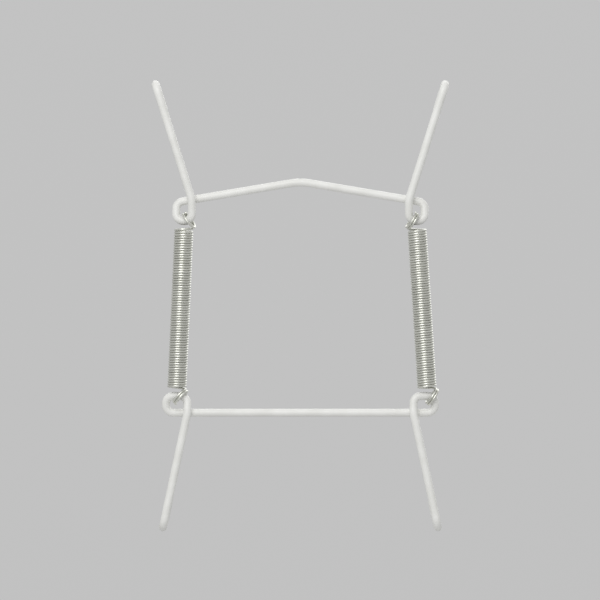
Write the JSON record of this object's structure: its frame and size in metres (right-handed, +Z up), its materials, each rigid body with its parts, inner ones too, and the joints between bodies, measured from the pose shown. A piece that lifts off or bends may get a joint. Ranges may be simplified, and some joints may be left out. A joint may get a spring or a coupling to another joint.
{
  "type": "wire plate hanger",
  "caption": "Spring-loaded wire hanger that grips a display plate by its rim with hooks and hangs from a nail under its peaked crossbar.",
  "frame": {"origin": "underside of the upper crossbar's wire at its peak, where the nail carries the hanger", "axes": "+Z up the wall, +Y away from the wall towards the plate, +X to the right as seen from the wall side"},
  "size_m": [0.0744, 0.0127, 0.1129],
  "materials": {
    "white_coating": "satin white plastic coating",
    "spring_steel": "bright zinc plated wire"
  },
  "bodies": {
    "upper_wire": {"upper_wire": "white_coating"},
    "left_spring": {"left_spring": "spring_steel"},
    "right_spring": {"right_spring": "spring_steel"},
    "lower_wire": {"lower_wire": "white_coating"}
  },
  "joints": [
    {"name": "upper_fold", "type": "hinge", "parent": "upper_wire", "child": "left_spring", "pos_m": [0, -0.001, -0.008], "axis": [1, 0, 0], "range_deg": [-35, 35]},
    {"name": "stretch", "type": "slide", "parent": "left_spring", "child": "right_spring", "axis": [0, 0, -1], "range_m": [0, 0.067], "stiffness_N_per_m": 510, "springref_m": -0.0078, "deforming": ["left_spring", "right_spring"]},
    {"name": "lower_fold", "type": "hinge", "parent": "right_spring", "child": "lower_wire", "pos_m": [0, -0.0011, -0.0528], "axis": [1, 0, 0], "range_deg": [-30, 30]}
  ]
}
